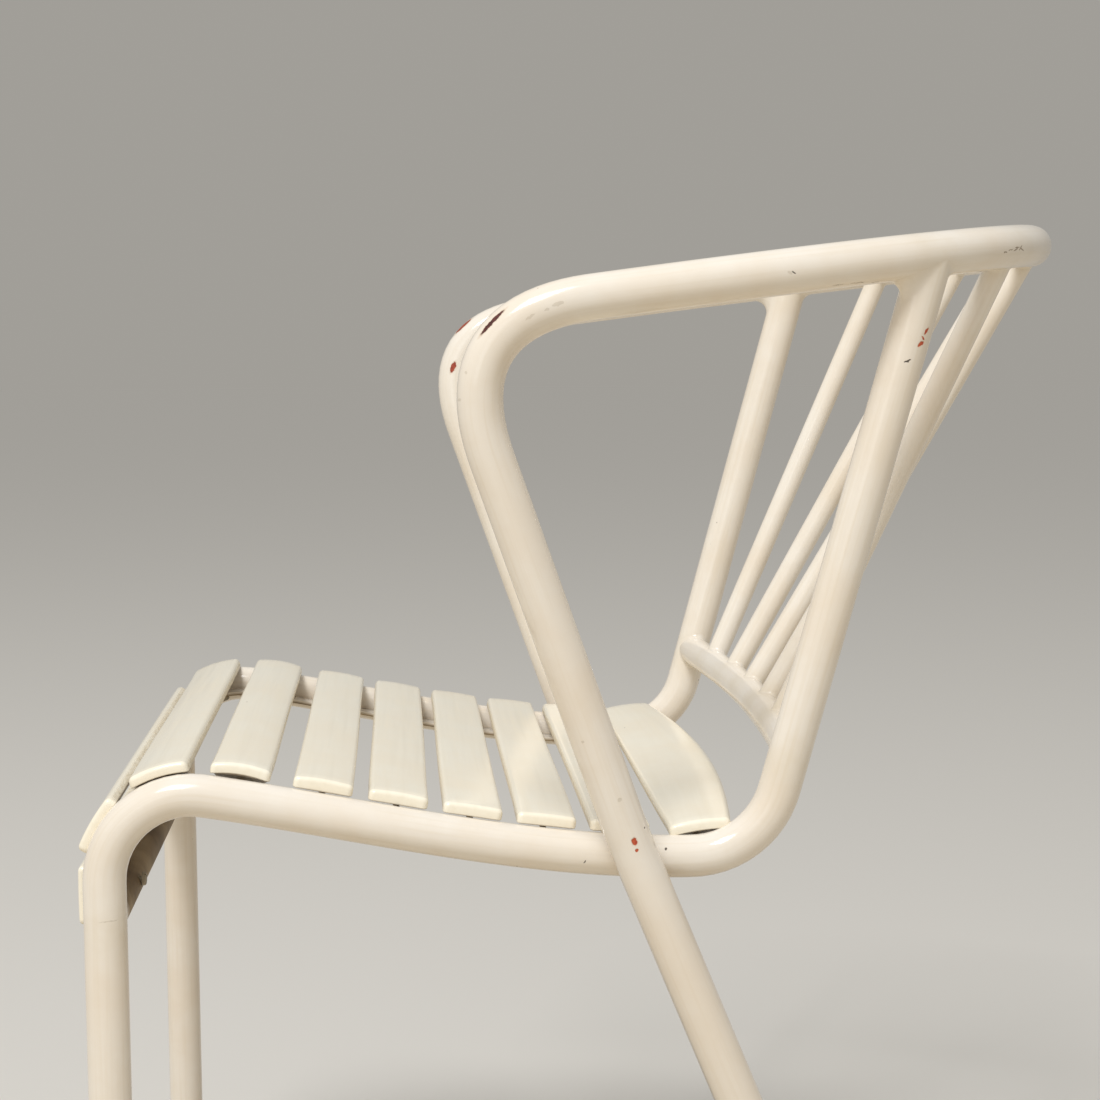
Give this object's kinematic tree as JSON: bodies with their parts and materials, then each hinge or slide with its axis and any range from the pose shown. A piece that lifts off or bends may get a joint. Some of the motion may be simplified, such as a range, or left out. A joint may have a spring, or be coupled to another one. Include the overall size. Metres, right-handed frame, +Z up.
{
  "type": "garden armchair",
  "caption": "Tubular steel garden armchair with a continuous arm and back tube, a barred back and a slatted seat that dips towards the rear.",
  "frame": {"origin": "on the floor, under the middle of the chair's bounding box", "axes": "+Z up, the sitter faces -Y, +X towards the sitter's left arm"},
  "size_m": [0.5054, 0.6098, 0.768],
  "materials": {
    "enamel": "glossy cream brush-painted enamel over steel tube, chipped at the arm bends",
    "slat_paint": "the same cream gloss paint on wooden slats, rougher on the slat edges",
    "screw": "steel screws painted over with the frame",
    "rubber": "matte dark rubber"
  },
  "bodies": {
    "root": {"arm_back_tube": "enamel", "side_frame_left": "enamel", "side_frame_right": "enamel", "lower_back_rail": "enamel", "front_cross_tube": "enamel", "spindle_1": "enamel", "spindle_2": "enamel", "spindle_3": "enamel", "spindle_4": "enamel", "spindle_5": "enamel", "ledge_left": "enamel", "ledge_right": "enamel", "slat_01": "slat_paint", "slat_02": "slat_paint", "slat_03": "slat_paint", "slat_04": "slat_paint", "slat_05": "slat_paint", "slat_06": "slat_paint", "slat_07": "slat_paint", "slat_08": "slat_paint", "slat_09": "slat_paint", "slat_10": "slat_paint", "screw_01_left": "screw", "screw_01_right": "screw", "screw_02_left": "screw", "screw_02_right": "screw", "screw_03_left": "screw", "screw_03_right": "screw", "screw_04_left": "screw", "screw_04_right": "screw", "screw_05_left": "screw", "screw_05_right": "screw", "screw_06_left": "screw", "screw_06_right": "screw", "screw_07_left": "screw", "screw_07_right": "screw", "screw_08_left": "screw", "screw_08_right": "screw", "screw_09_left": "screw", "screw_09_right": "screw", "screw_10_left": "screw", "screw_10_right": "screw", "foot_cap_front_left": "rubber", "foot_cap_front_right": "rubber", "foot_cap_rear_left": "rubber", "foot_cap_rear_right": "rubber"}
  },
  "joints": []
}
